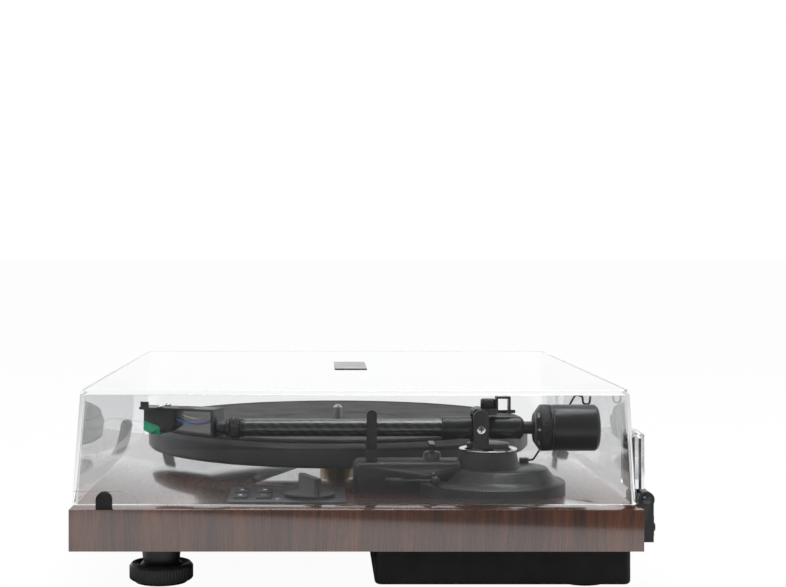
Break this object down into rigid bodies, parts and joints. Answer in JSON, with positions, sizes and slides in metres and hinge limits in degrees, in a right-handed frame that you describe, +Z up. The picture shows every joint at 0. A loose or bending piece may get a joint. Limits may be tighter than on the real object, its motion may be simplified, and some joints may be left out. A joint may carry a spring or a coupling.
{
  "type": "record player with speakers",
  "caption": "Belt-drive record player with a clear hinged cover, a straight arm, deck controls and a low speaker box under a wood plinth.",
  "frame": {"origin": "on the floor, at the centre of the outline that the plinth and its hinges cover", "axes": "+X to the right, +Y to the rear, where the cover is hinged, +Z up"},
  "size_m": [0.42, 0.3786, 0.1295],
  "materials": {
    "walnut": "satin veneer",
    "black_plastic": "fine matt",
    "grey_panel": "satin",
    "clear_acrylic": "polished clear",
    "rubber": "matt",
    "platter_metal": "dark satin cast",
    "mat_rubber": "matt ribbed",
    "black_metal": "satin black",
    "bright_metal": "polished",
    "carbon": "woven",
    "dark_steel": "satin",
    "board_green": "circuit board",
    "stylus_green": "gloss",
    "brass": "turned",
    "cone_paper": "paper"
  },
  "bodies": {
    "base": {"plinth": "walnut", "bottom_cover": "black_metal", "speaker_box": "black_plastic", "speaker_grille": "black_metal", "woofer_frames": "black_metal", "woofer_cones": "cone_paper", "tweeters": "black_plastic", "amplifier": "board_green", "terminal_plate": "black_metal", "phono_sockets": "bright_metal", "power_inlet": "black_plastic", "foot_necks": "black_metal", "rear_pads": "rubber", "bearing_bush": "brass", "motor": "dark_steel", "drive_belt": "rubber", "arm_base": "black_metal", "arm_column": "black_metal", "column_rim": "bright_metal", "rest_block": "black_plastic", "rest_post": "black_plastic", "skate_support": "black_metal", "control_panel": "grey_panel", "control_board": "board_green", "hinge_brackets": "black_metal", "hinge_pins": "dark_steel"},
    "cover": {"lid": "clear_acrylic", "lid_bumpers": "rubber", "lid_badge": "black_plastic", "hinge_leaves": "black_metal"},
    "turntable": {"platter": "platter_metal", "platter_mat": "mat_rubber", "sub_platter": "bright_metal"},
    "drive": {"motor_pulley": "brass"},
    "swing": {"gimbal_yoke": "black_metal", "bearing_cap": "black_metal", "pivot_screws": "bright_metal", "skate_rod": "black_metal"},
    "arm": {"arm_tube": "carbon", "arm_housing": "black_metal", "collar": "black_metal", "headshell": "black_metal", "cartridge": "black_plastic", "stylus": "stylus_green", "cartridge_screws": "bright_metal", "lead_wires": "rubber"},
    "locking_ring": {"collar_ring": "black_metal"},
    "weight": {"counterweight": "black_metal"},
    "force_dial": {"dial_ring": "black_plastic"},
    "lever": {"cue_lever": "black_metal"},
    "lift": {"cue_lift": "black_metal"},
    "knob": {"selector_knob": "black_plastic"},
    "key_1": {"button_1": "black_plastic"},
    "key_2": {"button_2": "black_plastic"},
    "key_3": {"button_3": "black_plastic"},
    "key_4": {"button_4": "black_plastic"},
    "rocker": {"power_rocker": "black_plastic"},
    "foot_left": {"foot_ring_left": "black_metal"},
    "foot_right": {"foot_ring_right": "black_metal"}
  },
  "joints": [
    {"name": "cover_hinge", "type": "hinge", "parent": "base", "child": "cover", "pos_m": [0, 0.18275, 0.0565], "axis": [-1, 0, 0], "range_deg": [0, 50]},
    {"name": "platter_spin", "type": "hinge", "parent": "base", "child": "turntable", "pos_m": [-0.047, -0.01525, 0.0535], "axis": [0, 0, -1], "continuous": true},
    {"name": "pulley_spin", "type": "hinge", "parent": "base", "child": "drive", "pos_m": [-0.127, 0.05475, 0.0535], "axis": [0, 0, -1], "continuous": true},
    {"name": "arm_swing", "type": "hinge", "parent": "base", "child": "swing", "pos_m": [0.13, 0.08575, 0.0535], "axis": [0, 0, -1], "range_deg": [0, 46]},
    {"name": "arm_tilt", "type": "hinge", "parent": "swing", "child": "arm", "pos_m": [0.13, 0.07975, 0.097], "axis": [-1, 0, 0], "range_deg": [-1, 2.5]},
    {"name": "locking_ring_turn", "type": "hinge", "parent": "arm", "child": "locking_ring", "pos_m": [0.13, 0.08575, 0.097], "axis": [0, 1, 0], "range_deg": [0, 60]},
    {"name": "weight_travel", "type": "slide", "parent": "arm", "child": "weight", "axis": [0, 1, 0], "range_m": [-0.0025, 0.0025]},
    {"name": "dial_turn", "type": "hinge", "parent": "weight", "child": "force_dial", "pos_m": [0.13, 0.08575, 0.097], "axis": [0, 1, 0], "range_deg": [-180, 180]},
    {"name": "cue_lever_turn", "type": "hinge", "parent": "base", "child": "lever", "pos_m": [0.16, 0.04735, 0.0648], "axis": [-1, 0, 0], "range_deg": [0, 60]},
    {"name": "cue_lift_travel", "type": "slide", "parent": "base", "child": "lift", "axis": [0, 0, 1], "range_m": [0, 0.003]},
    {"name": "selector_turn", "type": "hinge", "parent": "base", "child": "knob", "pos_m": [0.161, -0.03625, 0.0535], "axis": [0, 0, -1], "range_deg": [0, 80]},
    {"name": "key_1_press", "type": "slide", "parent": "base", "child": "key_1", "axis": [0, 0, -1], "range_m": [0, 0.001], "stiffness_N_per_m": 800, "springref_m": -0.0005},
    {"name": "key_2_press", "type": "slide", "parent": "base", "child": "key_2", "axis": [0, 0, -1], "range_m": [0, 0.001], "stiffness_N_per_m": 800, "springref_m": -0.0005},
    {"name": "key_3_press", "type": "slide", "parent": "base", "child": "key_3", "axis": [0, 0, -1], "range_m": [0, 0.001], "stiffness_N_per_m": 800, "springref_m": -0.0005},
    {"name": "key_4_press", "type": "slide", "parent": "base", "child": "key_4", "axis": [0, 0, -1], "range_m": [0, 0.001], "stiffness_N_per_m": 800, "springref_m": -0.0005},
    {"name": "rocker_tip", "type": "hinge", "parent": "base", "child": "rocker", "pos_m": [0.035, 0.16875, 0.0153], "axis": [1, 0, 0], "range_deg": [0, 14]},
    {"name": "foot_left_turn", "type": "hinge", "parent": "base", "child": "foot_left", "pos_m": [-0.17, -0.13425, 0.02], "axis": [0, 0, 1], "range_deg": [-180, 180]},
    {"name": "foot_right_turn", "type": "hinge", "parent": "base", "child": "foot_right", "pos_m": [0.17, -0.13425, 0.02], "axis": [0, 0, 1], "range_deg": [-180, 180]}
  ],
  "couplings": [
    {"joint": "pulley_spin", "follows": "platter_spin", "ratio": 8.125},
    {"joint": "cue_lever_turn", "follows": "cue_lift_travel", "rad_per_m": 349.06},
    {"joint": "dial_turn", "follows": "weight_travel", "rad_per_m": 1256.6}
  ]
}
